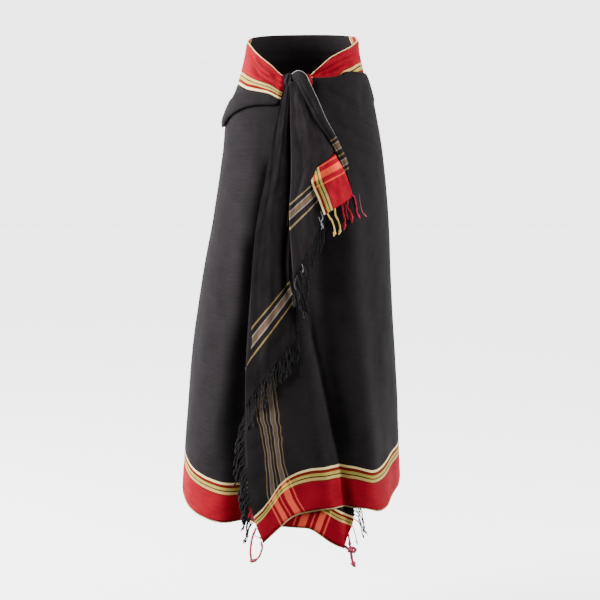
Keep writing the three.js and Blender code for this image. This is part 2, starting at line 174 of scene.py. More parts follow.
# Creases: points as x and height, half width, how far it stands out, and the layer it is in
creases = [
    # drag wrinkles on the border, running to the knot
    ([(-122, -7), (-100, -36), (-72, -58), (-40, -66)], 3, -4.6, "inner"),
    ([(-108, -14), (-88, -40), (-58, -58)], 4, 3.4, "inner"),
    ([(-118, -26), (-96, -54), (-66, -72), (-40, -76)], 3, -4.4, "inner"),
    ([(-122, -44), (-96, -68), (-60, -84)], 5, 3, "inner"),
    ([(-126, -60), (-104, -78), (-70, -92)], 4, -2, "inner"),
    ([(16, -58), (42, -44), (84, -24), (122, -10)], 3, -4.8, "outer"),
    ([(30, -46), (62, -26), (104, -6)], 4, 3.4, "outer"),
    ([(30, -58), (60, -48), (96, -30), (130, -22)], 3, -4.6, "outer"),
    ([(50, -56), (84, -44), (128, -34)], 4, 3.4, "outer"),
    # drag lines below the tuck on the right hip
    ([(45, -78), (88, -103), (132, -134)], 8, -3.2, "outer"),
    ([(60, -78), (98, -92), (140, -110)], 7, 2.6, "outer"),
    ([(30, -86), (62, -132), (96, -190)], 12, -2.2, "outer"),
    ([(126, -92), (142, -122), (150, -152)], 8, -2, "outer"),
    # soft wrinkles in the tuck on the left hip
    ([(-160, -92), (-120, -100), (-70, -104)], 6, -2.2, "inner"),
    ([(-165, -120), (-130, -110), (-90, -111)], 6, 2, "inner"),
    # the left side dips behind the outer end
    ([(-66, -230), (-82, -310), (-100, -447), (-118, -620)], 12, -7, "inner"),
    ([(-106, -400), (-114, -500), (-121, -620), (-130, -740)], 14, -10, "inner"),
    ([(-124, -600), (-130, -740), (-139, -850), (-140, -1060), (-138, -1300)], 28, -22, "inner"),
    ([(-90, -130), (-124, -400), (-138, -550), (-150, -645), (-165, -738), (-188, -854), (-198, -990)],
     28, 7, "inner"),
    # the outer end bulges at its free edge
    ([(-120, -830), (-114, -960), (-100, -1060)], 24, 5, "outer"),
    # the long fold that runs down to the right from under the fan
    ([(-14, -560), (6, -645), (34, -779), (64, -900), (84, -1040)], 26, 3.5, "outer"),
    ([(14, -560), (26, -645), (60, -779), (90, -900), (107, -1046), (112, -1200)], 9, -10, "outer"),
    ([(20, -560), (34, -645), (68, -779), (100, -900), (116, -1046)], 20, -7, "outer"),
    ([(40, -230), (44, -400), (50, -560), (68, -720), (88, -860), (104, -980)], 30, -15, "outer"),
    ([(106, -200), (112, -380), (118, -560), (136, -740), (154, -900), (166, -1060)], 26, 14, "outer"),
    # press creases
    ([(-250, -722), (-222, -716), (-190, -726)], 4, -1.2, "inner"),
    ([(-60, -860), (-30, -866), (0, -858)], 5, -1.2, "outer"),
    ([(-126, -905), (-90, -890), (-40, -898)], 5, -1.5, "outer"),
    ([(-122, -962), (-84, -946), (-50, -952)], 5, 1.5, "outer"),
    ([(-130, -30), (-40, -24), (60, -28), (122, -22)], 4, 3, "back"),
    ([(-120, -60), (-30, -88), (60, -70)], 9, -3, "back"),
]
creaseReach = 2.6  # half widths past which a crease is not felt
creaseTaper = 5  # a crease reaches its full depth within a fifth of its length


def levelAt(z):
    left, right, front, back = [lookUp(skirt["levels"], z, side) for side in (1, 2, 3, 4)]
    return left, right, front, back, (right - left) * skirt["sideShift"]


def flute(angle, z):
    out = 0.0
    for topAngle, hemAngle, width, depth, start in skirt["flutes"]:
        grown = min(1.0, max(0.0, (start - z) / (start - skirt["fluteEnd"])))
        if grown > 0:
            centre = mix(topAngle, hemAngle, grown)
            out += depth * ease(grown) * math.exp(-(((angle - centre) / width) ** 2))
    return out


def creaseAt(x, z, layer):
    out = 0.0
    for points, width, depth, where in creases:
        if where == layer:
            gap, along = nearLine(points, x, z)
            if gap < width * creaseReach:
                out += depth * math.exp(-((gap / width) ** 2)) * ease(min(along, 1 - along) * creaseTaper)
    return out


def tuckShare(span, angle):  # how much of a tuck there is at an angle, from 0 to 1
    start, grows, stop, fades = skirt[span]
    return ease((angle - start) / grows) * ease((stop - angle) / fades)


def roundPoint(angle, z, lift):
    left, right, front, back, middle = levelAt(z)
    sine, cosine = math.sin(math.radians(angle)), math.cos(math.radians(angle))
    n = skirt["roundness"]
    reach = (abs(sine) ** n + abs(cosine) ** n) ** (-1 / n)
    halfWidth = (left + middle if sine < 0 else right - middle) + lift
    depth = (front if cosine > 0 else back) + lift
    return Vector((middle + halfWidth * reach * sine, -depth * reach * cosine, z))


def frontPoint(x, z, lift):
    left, right, front, back, middle = levelAt(z)
    n = skirt["roundness"]
    halfWidth = left + middle if x < middle else right - middle
    share = min(0.999, abs(x - middle) / halfWidth)
    cosine = (1 - share ** n) ** (1 / n)
    angle = math.degrees(math.atan2(math.copysign(share, x - middle), cosine)) - 360  # in the outer layer
    out = lift + flute(angle, z)
    below = lookUp(skirt["rightTuck"], angle, 1) - z
    if angle > skirt["rightSpan"][0] and below > 0:
        out += skirt["tuckDepth"] * tuckShare("rightSpan", angle) * math.exp(-below / skirt["tuckFade"][1])
    return Vector((x, -(front + out) * cosine, z))


def wrapAngle(along, drop):
    return mix(lookUp(skirt["ends"], drop, 1), lookUp(skirt["ends"], drop, 2), along)


def turnedDown(angle):  # length of border folded over to the outside at the back
    shown = min(ease((turnDown["first"] - angle) / turnDown["fadeLeft"]),
                ease((angle - turnDown["last"]) / turnDown["fadeRight"]))
    inside = turnDown["last"] < angle < turnDown["first"]
    return turnDown["height"] * mix(turnDown["endShare"], 1, shown) if inside else 0.0


# Each tuck is a fold in the rows: step from the lip row, how far down, how far out
leftFold = [
    (-6, 0, 1), (-3, -1, 1.15), (-2, -4, 1.35), (-1, -9, 1.45), (0, -12, 1.1), (1, -1, 0.4), (2, 7, 0),
    (3, 7, 0), (5, 4, 0), (8, 0, 0),
]
rightFold = [
    (-8, 0, 0), (-5, -1, 0), (-3, -5, 0.02), (-2, -7, 0.1), (-1, -6, 0.3), (0, -1, 0.65), (1, 3, 0.95),
    (2, 4, 1.08), (3, 3, 1.1), (6, 0, 1.02),
]
lipLine = [  # angle and height of the lip row, all the way round
    (5, -102), (-19, -105), (-43, -110), (-57, -122), (-71, -143), (-82, -167), (-100, -172), (-130, -150),
    (-200, -110), (-250, -72), (-262, -64), (-277, -58), (-316, -47), (-325, -56), (-351, -60),
    (-362, -74), (-375, -86),
]


def lipHeight(angle):
    return lookUp(lipLine, angle, 1)


def wrapPoint(column, row):  # the wrapped cloth, from its inner end to its outer end and from top to hem
    share = column / skirt["columns"]
    along = share - skirt["denserEnds"] * math.sin(2 * math.pi * share) / (2 * math.pi)
    lipRow = skirt["lipRow"]
    topAngle = wrapAngle(along, 0)
    top = lookUp(skirt["topEdge"], topAngle, 1)
    hem = lookUp(skirt["hemEdge"], wrapAngle(along, 1), 1)
    lip = lipHeight(topAngle)
    if row <= lipRow:
        z = mix(top, lip, row / lipRow)
    else:
        z = mix(lip, hem, ((row - lipRow) / (skirt["rows"] - lipRow)) ** skirt["rowSpacing"])
    drop = (top - z) / (top - hem)
    angle = wrapAngle(along, drop)
    step = (row - lipRow) * skirt["foldSteps"]
    out = skirt["layerSpacing"] * along + flute(angle, z)
    left, right = tuckShare("leftSpan", angle), tuckShare("rightSpan", angle)
    fadeUp, fadeDown = skirt["tuckFade"]
    if left > 0:
        above = max(0, z - lip - skirt["tuckRun"])
        fold = lookUp(leftFold, step, 2) if step > leftFold[0][0] else math.exp(-above / fadeUp)
        out += skirt["tuckDepth"] * left * fold
        z += left * lookUp(leftFold, step, 1)
    if right > 0:
        below = max(0, lip - z - skirt["tuckRun"])
        lastStep, settled = rightFold[-1][0], rightFold[-1][2]
        fold = lookUp(rightFold, step, 2) if step < lastStep else settled * math.exp(-below / fadeDown)
        out += skirt["tuckDepth"] * right * fold
        z += right * lookUp(rightFold, step, 1)
    place = roundPoint(angle, z, out)
    layer = "back" if place.y > 0 else "outer" if along > 0.5 else "inner"
    out += creaseAt(place.x, z, layer)
    under, fromX, softly = skirt["follows"]
    if layer == "inner" and along < under:
        out += creaseAt(place.x, z, "outer") * ease((place.x - fromX) / softly)
    about, down = skirt["unevenSpan"]
    broad, fine = skirt["unevenness"]
    spot = Vector((place.x / about, place.y / about, z / down + along * 9))  # each layer has its own
    out += noise.noise(spot) * broad + noise.noise(spot * skirt["finer"]) * fine
    return roundPoint(angle, z, out), angle, z, top, hem, topAngle


# The cloth's width, where its two borders begin and end, and how far from the selvedge the tuck hides it
cloth = {"width": 1100, "border": 100, "tuckStart": 104, "tuckEnd": 112, "lipRows": 3}


def borderShare(angle, z, top, hem, row):  # millimetres across the cloth, from its top selvedge
    folded = turnedDown(angle)
    border = lookUp(hemBorder, angle, 1)
    hemBorderAt = cloth["width"] - cloth["border"]
    if z < hem + border:
        return hemBorderAt + cloth["border"] * (1 - max(0, z - hem) / border)
    right = tuckShare("rightSpan", angle)
    if right > 0:
        jump = skirt["lipRow"] - cloth["lipRows"]
        if row <= jump:
            reach = mix(cloth["tuckStart"], lookUp(tuckReach, angle, 1), ease(right))
            return mix(folded, reach, row / jump)
        lip = lipHeight(angle)
        return mix(cloth["tuckEnd"], hemBorderAt, (lip - z) / (lip - hem - border))
    height = lookUp(borderHeight, angle, 1) * (1 - folded / turnDown["height"])
    topmost = max(cloth["border"], folded)
    below = top - z
    if below < height:
        return mix(folded, topmost, below / height)
    return mix(topmost, hemBorderAt, (below - height) / (top - hem - border - height))


# Where the outer end's bands lie: height, then the first and the last thin line, from the outer edge.
# Above, the end is folded back into the cascade, so they pass out of sight.
outerBands = [
    (-150, -190, -150), (-280, 16, 60), (-540, 18, 64), (-640, 20, 70), (-700, 26, 76), (-744, 30, 84),
    (-795, 31, 92), (-819, 34, 97), (-838, 38, 97), (-846, 44, 101), (-866, 48, 100), (-874, 50, 103),
    (-889, 51, 101), (-912, 55, 103), (-935, 54, 104), (-958, 55, 110), (-998, 52, 118), (-1017, 52, 119),
    (-1048, 57, 125), (-1082, 60, 130), (-1130, 62, 138),
]
# The inner end's top corner is pulled up and out at the knot: share of the drop, cloth hidden that way
innerPull = [(0, 420), (0.4, 300), (0.7, 120), (0.88, 0), (1, 0)]
bandSpan = (62, 138)


def outerFromEnd(distance, z):
    first, last = lookUp(outerBands, z, 1), lookUp(outerBands, z, 2)
    if distance < first:
        return distance * bandSpan[0] / first
    return bandSpan[0] + (distance - first) * (bandSpan[1] - bandSpan[0]) / (last - first)


def linear(colour):  # sRGB hex to linear
    channels = [int(colour[i:i + 2], 16) / 255 for i in (1, 3, 5)]
    return tuple(c / 12.92 if c <= 0.04045 else ((c + 0.055) / 1.055) ** 2.4 for c in channels) + (1.0,)


def addNode(tree, kind, settings, links):  # one node, its settings by name and its inputs by socket
    node = tree.nodes.new(kind)
    for key, value in settings.items():
        setattr(node, key, value)
    for socket, value in links.items():
        if isinstance(value, bpy.types.NodeSocket):
            tree.links.new(value, node.inputs[socket])
        else:
            node.inputs[socket].default_value = value
    return node


def fillRamp(ramp, stops):  # stops are place and colour, each colour holding until the next
    ramp.interpolation = "CONSTANT"
    while len(ramp.elements) < len(stops):
        ramp.elements.new(1.0)
    for element, (place, colour) in zip(ramp.elements, stops):
        element.position = place
        element.color = colour


# Handwoven cotton: coloured warp along the cloth makes the border, coloured weft near its ends the bands
yarn = {
    "ground": "#1f1c1e", "red": "#8c0d1e", "cream": "#efd496", "brown": "#6e1a12", "green": "#ab9a4c",
    "olive": "#1c1008", "gold": "#c0a060", "line": "#7c6842", "tan": "#61503e", "white": "#8c7f78",
    "orange": "#ff6448", "yellow": "#ffd452",
}
borderBuild = {  # how far from the selvedge each warp colour starts, and what colour a band makes of it
    0: ("cream", "cream"), 2.5: ("red", "orange"), 68.5: ("brown", "orange"), 72: ("gold", "yellow"),
    79: ("olive", "brown"), 82: ("green", "yellow"), 89: ("brown", "orange"), 96.5: ("cream", "cream"),
    102: ("ground", "line"),
}
groundFrom = max(borderBuild)
borderReach = 120
bandReach = 160
thinLine, wideBand = [(0, "line", 0.8)], [(0, "white", 0.9), (2.5, "tan", 1.0), (-2.5, "white", 0.9)]
doubleBands = [(60, 64, thinLine), (72, 88, wideBand), (96, 100, thinLine), (110, 128, wideBand),
               (136, 140, thinLine)]
singleBands = [(61, 65, thinLine), (76, 92, wideBand), (103, 107, thinLine)]
weave = {
    "pitch": 2.4,  # drawn coarser than the real 0.6 mm yarns, which are finer than the render shows
    "wobble": 0.8,
    "ribPitch": 5,  # the wide bands are ribbed on the slant
    "ribWobble": 1.0,
    "grooves": 0.55,  # how strongly a band's colour still shows between its ribs
    "slubStretch": (25, 420, 1),
    "slubs": 0.8,
    "slubsFrom": 0.1,
    "dyeScale": 18.0,
    "warpHeight": 0.6,
    "bump": 0.4,
    "bumpHeight": 0.5,
}
waveOnce = 0.314  # scale at which a wave texture's bands repeat once a metre
# plain-woven cotton: matt, with a soft nap that lifts the edges; twisted yarn: matt and a little fuzzy
cottonLook = {"Roughness": 0.85, "Sheen Weight": 0.015, "Sheen Roughness": 0.5, "Specular IOR Level": 0.05}
yarnLook = {"Roughness": 0.9, "Sheen Weight": 0.1, "Specular IOR Level": 0.2}
fuzzScale = 400.0
fuzzTones = (0.6, 1.3)


def blend(tree, share, first, second):  # from the first colour to the second
    colours = {"Factor": share, 6: first, 7: second}
    return addNode(tree, "ShaderNodeMix", {"data_type": "RGBA"}, colours).outputs[2]


def newMaterial(name, look):  # a material with its shader's inputs set by name
    material = bpy.data.materials.new(name)
    material.use_nodes = True
    shader = material.node_tree.nodes["Principled BSDF"]
    for key, value in look.items():
        shader.inputs[key].default_value = value
    return material, material.node_tree, shader


def clothMaterial(name, bands, dyes, patchiness):  # with slubs in the yarn and uneven dye
    material, tree, shader = newMaterial(name, cottonLook)
    uv = addNode(tree, "ShaderNodeUVMap", {"uv_map": "weave"}, {}).outputs["UV"]
    parts = addNode(tree, "ShaderNodeSeparateXYZ", {}, {"Vector": uv})
    fromEnd, inward = parts.outputs["X"], parts.outputs["Y"]
    otherSide = addNode(tree, "ShaderNodeMath", {"operation": "SUBTRACT"},
                        {0: cloth["width"] * mm, 1: inward}).outputs[0]
    selvedge = addNode(tree, "ShaderNodeMath", {"operation": "MINIMUM"}, {0: inward, 1: otherSide}).outputs[0]
    inBorder = addNode(tree, "ShaderNodeMath", {"operation": "DIVIDE"}, {0: selvedge, 1: borderReach * mm})
    warp = addNode(tree, "ShaderNodeValToRGB", {}, {"Fac": inBorder.outputs[0]})
    crossed = addNode(tree, "ShaderNodeValToRGB", {}, {"Fac": inBorder.outputs[0]})
    for ramp, which in ((warp.color_ramp, 0), (crossed.color_ramp, 1)):
        fillRamp(ramp, [(at / borderReach, linear(dyes[pair[which]])) for at, pair in borderBuild.items()])
    isBlack = addNode(tree, "ShaderNodeMath", {"operation": "GREATER_THAN"},
                      {0: selvedge, 1: groundFrom * mm}).outputs[0]
    inBands = addNode(tree, "ShaderNodeMath", {"operation": "DIVIDE"}, {0: fromEnd, 1: bandReach * mm})
    weft = addNode(tree, "ShaderNodeValToRGB", {}, {"Fac": inBands.outputs[0]})
    stops = [(0, (0, 0, 0, 0))]
    for start, stop, lines in bands:
        for offset, colour, strength in lines:
            place = start + offset if offset >= 0 else stop + offset
            stops.append((place / bandReach, linear(dyes[colour])[:3] + (strength,)))
        stops.append((stop / bandReach, (0, 0, 0, 0)))
    fillRamp(weft.color_ramp, stops)
    woven = {"Vector": uv, "Scale": waveOnce / (weave["pitch"] * mm), "Distortion": weave["wobble"],
             "Detail": 1.0}
    warpYarns, weftYarns = [addNode(tree, "ShaderNodeTexWave", {"bands_direction": way}, woven).outputs["Fac"]
                            for way in "YX"]
    slanted = {"Vector": uv, "Scale": 2 * waveOnce / (weave["ribPitch"] * mm),
               "Distortion": weave["ribWobble"], "Detail": 1.0}
    ribs = addNode(tree, "ShaderNodeTexWave", {"bands_direction": "DIAGONAL"}, slanted).outputs["Fac"]
    hatch = addNode(tree, "ShaderNodeMapRange", {}, {"Value": ribs, "To Min": weave["grooves"]}).outputs[0]
    shown = addNode(tree, "ShaderNodeMath", {"operation": "MULTIPLY"}, {0: weft.outputs["Alpha"], 1: hatch})
    bandColour = blend(tree, isBlack, crossed.outputs["Color"], weft.outputs["Color"])
    banded = blend(tree, shown.outputs[0], warp.outputs["Color"], bandColour)
    stretched = addNode(tree, "ShaderNodeMapping", {},
                        {"Vector": uv, "Scale": weave["slubStretch"]}).outputs[0]
    slubs = addNode(tree, "ShaderNodeTexNoise", {}, {"Vector": stretched, "Scale": 1.0, "Detail": 2.0})
    dye = addNode(tree, "ShaderNodeTexNoise", {}, {"Vector": uv, "Scale": weave["dyeScale"], "Detail": 6.0})
    uneven = addNode(tree, "ShaderNodeMath", {"operation": "MULTIPLY_ADD"},
                     {0: slubs.outputs["Fac"], 1: weave["slubs"], 2: weave["slubsFrom"]}).outputs[0]
    patchy = addNode(tree, "ShaderNodeMath", {"operation": "MULTIPLY_ADD"},
                     {0: dye.outputs["Fac"], 1: patchiness, 2: uneven}).outputs[0]
    shade = addNode(tree, "ShaderNodeMath", {"operation": "ADD"},
                    {0: patchy, 1: 0.5 - patchiness / 2}).outputs[0]
    coloured = addNode(tree, "ShaderNodeVectorMath", {"operation": "SCALE"}, {0: banded, "Scale": shade})
    tree.links.new(coloured.outputs[0], shader.inputs["Base Color"])
    yarnHeight = addNode(tree, "ShaderNodeMath", {"operation": "MULTIPLY_ADD"},
                         {0: warpYarns, 1: weave["warpHeight"], 2: weftYarns}).outputs[0]
    bump = addNode(tree, "ShaderNodeBump", {},
                   {"Height": yarnHeight, "Strength": weave["bump"], "Distance": weave["bumpHeight"] * mm})
    tree.links.new(bump.outputs[0], shader.inputs["Normal"])
    return material


def yarnMaterial(name, colour):  # uneven in its dye
    material, tree, shader = newMaterial(name, yarnLook)
    place = addNode(tree, "ShaderNodeTexCoord", {}, {}).outputs["Object"]
    fuzz = addNode(tree, "ShaderNodeTexNoise", {}, {"Vector": place, "Scale": fuzzScale, "Detail": 2.0})
    dark, light = [tuple(min(1, c * tone) for c in linear(colour)[:3]) + (1,) for tone in fuzzTones]
    tree.links.new(blend(tree, fuzz.outputs["Fac"], dark, light), shader.inputs["Base Color"])
    return material


doubleCloth = clothMaterial("handwoven cotton, double bands", doubleBands, yarn, 0.75)
# painted shade: the cascade's copy of the cloth has a darker ground; painted light: that copy's red, orange
# and lines are brighter, and the fan's copy has a paler ground and bands; the rolled corner's selvedge is
# nearly white
shadeAndLightDyes = {**yarn, "ground": "#151213", "red": "#9e1024", "orange": "#ff5c38", "line": "#8c7648"}
# painted light: the fan's copy of the cloth has a paler ground and paler band colours
paintedLightDyes = {**yarn, "ground": "#262224", "line": "#b0966a", "tan": "#846c54", "white": "#b6a69a"}
# the cascade and the border corner: the cloth with painted shade (darker ground) and painted light (brighter
# red, orange and lines)
paintedShadeAndLightCloth = clothMaterial("handwoven cotton, single band, painted shade and light", singleBands, shadeAndLightDyes, 2.6)
# the fan: the cloth with painted light
paintedLightFanCloth = clothMaterial("handwoven cotton, single band, painted light", singleBands, paintedLightDyes, 1.6)
rolledCloth = clothMaterial("handwoven cotton, pale selvedge", doubleBands,
                            {**yarn, "cream": "#b4b1ac"}, 0.75)
# the grey and ash yarns are paler strands set among the dark fringe as painted highlights
yarnColours = {
    "black": "#141214", "paintedHighlightGrey": "#443c3e", "red": "#a01224", "magenta": "#b01444", "cream": "#e0c070",
    "pink": "#b4465e", "palePink": "#a8605c", "paintedHighlightAsh": "#8c8a92",
    "jet": "#080708", "charcoal": "#1c191b",
}
yarnNames = list(yarnColours)
yarnMaterials = [yarnMaterial(name + " twisted cotton yarn", yarnColours[name]) for name in yarnNames]
print("materials ready")


def makeSheet(name, grid, place, pattern, thickness, material):
    # place(column, row) gives a point, pattern(column, row) how far from the cloth's end and across it
    columns, rows = grid
    bm = bmesh.new()
    bmesh.ops.create_grid(bm, x_segments=columns, y_segments=rows, size=0.5)
    layer = bm.loops.layers.uv.new("weave")
    spots = {}
    for vert in bm.verts:
        spots[vert] = (round((vert.co.x + 0.5) * columns), round((0.5 - vert.co.y) * rows))
    for vert, (column, row) in spots.items():
        vert.co = place(column, row) * mm
    for face in bm.faces:
        face.smooth = True
        for loop in face.loops:
            fromEnd, across = pattern(*spots[loop.vert])
            loop[layer].uv = (fromEnd * mm, across * mm)
    bmesh.ops.recalc_face_normals(bm, faces=bm.faces)
    mesh = bpy.data.meshes.new(name)
    bm.to_mesh(mesh)
    bm.free()
    piece = bpy.data.objects.new(name, mesh)
    bpy.context.collection.objects.link(piece)
    mesh.materials.append(material)
    thick = piece.modifiers.new("thickness", "SOLIDIFY")
    thick.thickness = thickness * mm
    thick.offset = 0
    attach(piece, "root")
    return piece


# The wrapped cloth, and how far each of its points is from the cloth's ends along its row
columns, rows = skirt["columns"], skirt["rows"]
wrapPoints = [[wrapPoint(column, row) for column in range(columns + 1)] for row in range(rows + 1)]
wrapUv = []
for row, points in enumerate(wrapPoints):
    walked = [0.0]
    for here, before in zip(points[1:], points):
        walked.append(walked[-1] + (here[0] - before[0]).length)
    line = []
    for column, (place, angle, z, top, hem, topAngle) in enumerate(points):
        fromInner = walked[column] + lookUp(innerPull, (top - z) / (top - hem), 1)
        fromOuter = outerFromEnd(walked[-1] - walked[column], z)
        usedAngle = mix(topAngle, angle, ease((row - skirt["lipRow"]) / skirt["angleRows"]))
        line.append((min(fromInner, fromOuter), borderShare(usedAngle, z, top, hem, row)))
    wrapUv.append(line)
wrap = makeSheet("wrapped_cloth", (columns, rows), lambda column, row: wrapPoints[row][column][0],
                 lambda column, row: wrapUv[row][column], skirt["thickness"], doubleCloth)
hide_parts("cloth")
print("wrapped cloth made")


def turnDownAngle(column):
    return mix(turnDown["first"], turnDown["last"], column / turnDown["grid"][0])


def turnDownPlace(column, row):
    angle, down = turnDownAngle(column), row / turnDown["grid"][1]
    height = turnedDown(angle)
    top = lookUp(skirt["topEdge"], angle, 1)
    start, stop = skirt["ends"][0][1:]
    lift = skirt["layerSpacing"] * (start - angle) / (start - stop)
    lift += turnDown["lift"] * ease(down * height / turnDown["liftSpan"])
    spot = Vector((angle / turnDown["unevenAngle"], down * turnDown["unevenRows"], 4))
    lift += turnDown["unevenness"] * noise.noise(spot) * ease(down * 3)
    return roundPoint(angle, top + turnDown["above"] - down * height, lift)


def turnDownPattern(column, row):
    return 500, turnedDown(turnDownAngle(column)) * (1 - row / turnDown["grid"][1])


turned = makeSheet("turned_down_border", turnDown["grid"], turnDownPlace, turnDownPattern,
                   skirt["thickness"], doubleCloth)
print("turned-down border made")


# Panels that hang in front. Rows: left x, z and lift, right x, z and lift, how far the middle stands out.
# Pattern: how far each row's left and right are from the cloth's end, then how far they are across the cloth.
# Pleats: centre across, half width across, how far out. The crest is where across the middle stands out most.
cascade = {
    "grid": (64, 200), "thickness": 1.5, "flat": (0.13, 0.75), "area": 0.063, "turnBack": (0, 0),
    "crestAt": 0.66, "droop": 8,
    "rows": [
        (-40, -58, 9, -18, -52, 10, 5), (-38, -76, 13, -18, -74, 14, 3), (-60, -172, 11, -22, -168, 12, 5),
        (-81, -286, 10, -21, -262, 10, 6), (-99, -378, 10, -22, -338, 10, 5),
        (-111, -485, 10, -24, -420, 11, 5), (-118, -638, 9, -25, -512, 15, 4),
        (-127, -718, 9, -14, -552, 19, 3), (-126, -806, 12, -2, -624, 20, 2),
    ],
    "pattern": [(660, 660, 700, 500), (640, 640, 700, 500), (520, 520, 700, 500), (400, 400, 700, 500),
                (300, 300, 700, 500), (210, 210, 700, 500), (105, 105, 700, 500), (63, 63, 700, 500),
                (0, 0, 700, 500)],
    "pleats": [(0.22, 0.07, -1.0), (0.46, 0.08, 1.2), (0.92, 0.06, -5)],
}
fan = {
    "grid": (60, 150), "thickness": 1.5, "flat": (0.12, 0.41), "area": 0.030, "turnBack": (14, 12),
    "crestAt": 0.66, "droop": 0,
    "rows": [
        (-28, -66, 22, 6, -64, 19, 2), (-30, -134, 26, 30, -116, 20, 5), (-31, -206, 26, 61, -178, 21, 6),
        (-32, -278, 26, 73, -218, 21, 7), (-32, -343, 26, 40, -278, 22, 6), (-33, -399, 26, 48, -318, 21, 5),
        (-25, -519, 25, 57, -357, 22, 4),
    ],
    "pattern": [(480, 480, 480, 110), (360, 360, 480, 110), (250, 250, 480, 110), (165, 165, 480, 110),
                (105, 105, 480, 110), (63, 63, 480, 110), (0, 0, 480, 110)],
    "pleats": [(0.3, 0.07, -1.0), (0.52, 0.08, 1.2), (0.76, 0.08, -1.6)],
}
corner = {
    "grid": (44, 60), "thickness": 1.5, "flat": (0.09, 0.1), "area": 0.0085, "turnBack": (0, 0),
    "crestAt": 0.5, "droop": 0,
    "rows": [
        (22, -264, 27, 76, -225, 24, 4), (24, -291, 30, 98, -266, 25, 5), (38, -324, 32, 110, -298, 25, 5),
        (51, -360, 32, 117, -323, 25, 4),
    ],
    "pattern": [(104, 112, 103, 6), (72, 64, 103, 6), (39, 28, 103, 6), (0, 0, 103, 6)],
    "pleats": [(0.45, 0.1, -1.4), (0.75, 0.1, 1.5)],
}
rolled = {
    "grid": (28, 170), "thickness": 2.2, "flat": (0.035, 0.37), "area": 0.0095, "turnBack": (0, 0),
    "crestAt": 0.5, "droop": 0,
    "rows": [
        (-15, -78, 6, -23, -72, 2, 1), (-14, -72, 14, -22, -57, 8, 3), (-11, -70, 20, -17, -47, 13, 5),
        (-7, -71, 25, -4, -42, 18, 6), (-4, -76, 29, 10, -49, 24, 6), (2, -88, 31, 21, -70, 29, 5),
        (15, -114, 31, 35, -98, 30, 4), (41, -160, 29, 57, -148, 28, 4),
        (67, -198, 27, 80, -190, 27, 3), (92, -250, 18, 104, -243, 18, 2), (102, -286, 17, 111, -280, 17, 1),
        (121, -318, 18, 128, -312, 18, 1),
    ],
    "pattern": [(420, 420, 230, 98), (395, 395, 230, 98), (380, 380, 230, 98), (365, 365, 230, 98),
                (350, 350, 230, 98), (330, 330, 230, 98.5), (285, 285, 230, 99), (200, 200, 230, 99.5),
                (135, 135, 230, 101), (79, 79, 230, 106), (38, 38, 230, 110), (0, 0, 230, 110)],
    "pleats": [(0.35, 0.12, -1.6), (0.7, 0.1, 1)],
}
panelLook = {
    "sagShare": 0.12,
    "turnShare": 0.1,
    "turnPowers": (1.5, 0.7),  # how abruptly the edge turns sideways and backwards
    "wander": 0.05,  # how far a pleat wanders, how often, and how unlike the pleat beside it
    "wanderWaves": 1.7,
    "wanderShift": 9,
    "unevenness": 1.1,
    "unevenSpan": (26, 70),
}


def panelPlace(panel):
    table, last = numbered(panel["rows"]), len(panel["rows"]) - 1
    sagShare, turnShare = panelLook["sagShare"], panelLook["turnShare"]
    sideways, backwards = panelLook["turnPowers"]
    spanX, spanZ = panelLook["unevenSpan"]
    columns, rows = panel["grid"]
    deep, back = panel["turnBack"]
    skew = math.log(0.5) / math.log(panel["crestAt"])

    def place(column, row):
        across, down = column / columns, row / rows * last
        left, right = [[lookUp(table, down, i) for i in side] for side in ((1, 2, 3), (4, 5, 6))]
        x, z, lift = [mix(a, b, across) for a, b in zip(left, right)]
        z += panel["droop"] * (1 - across - max(0, 1 - across / sagShare) ** 2)  # the free edge sags
        lift += lookUp(table, down, 7) * math.sin(math.pi * across ** skew)
        for centre, width, depth in panel["pleats"]:
            swing = math.sin(down * panelLook["wanderWaves"] + centre * panelLook["wanderShift"])
            gap = across - centre - panelLook["wander"] * swing
            lift += depth * math.exp(-((gap / width) ** 2)) * ease(down)
        lift += panelLook["unevenness"] * noise.noise(Vector((x / spanX, z / spanZ, left[2])))
        if deep and across < turnShare:  # the free edge turns back behind the panel
            turned = 1 - across / turnShare
            x += deep * turned ** sideways
            lift -= back * turned ** backwards
        return frontPoint(x, z, lift)
    return place


def panelPattern(panel):
    table, last = numbered(panel["pattern"]), len(panel["rows"]) - 1
    columns, rows = panel["grid"]

    def pattern(column, row):
        across, down = column / columns, row / rows * last
        fromLeft, fromRight, inLeft, inRight = [lookUp(table, down, i) for i in (1, 2, 3, 4)]
        return mix(fromLeft, fromRight, across), mix(inLeft, inRight, across)
    return pattern


# the cascade and the border corner wear the cloth with painted shade and light, the fan the cloth with
# painted light
for name, panel, material in [("cascade_panel", cascade, paintedShadeAndLightCloth), ("fan_panel", fan, paintedLightFanCloth),
                              ("border_corner", corner, paintedShadeAndLightCloth), ("rolled_corner", rolled, rolledCloth)]:
    piece = makeSheet(name, panel["grid"], panelPlace(panel), panelPattern(panel),
                      panel["thickness"], material)
print("hanging panels made")

# The knot: small bunched folds where the gathered corners cross. Each has its sides, its top and bottom, its
# lift, how far it stands out, how far its own folds do, and where it lies across the cloth.
bunches = {
    "knot_bunch": {"x": (-38, -15), "z": (-49, -84), "lift": 9, "out": 9, "folds": 1.6, "across": (400, 430),
                   "flat": (0.034, 0.038)},
    "knot_red_fold": {"x": (2, 25), "z": (-50, -84), "lift": 16, "out": 8, "folds": 2.4, "across": (60, 10),
                      "flat": (0.034, 0.044)},
}
bunchGrid = 30
bunchFullness = 0.45  # the smaller, the fuller
bunchFolds = (7, 2.5)  # how its folds run across and down it


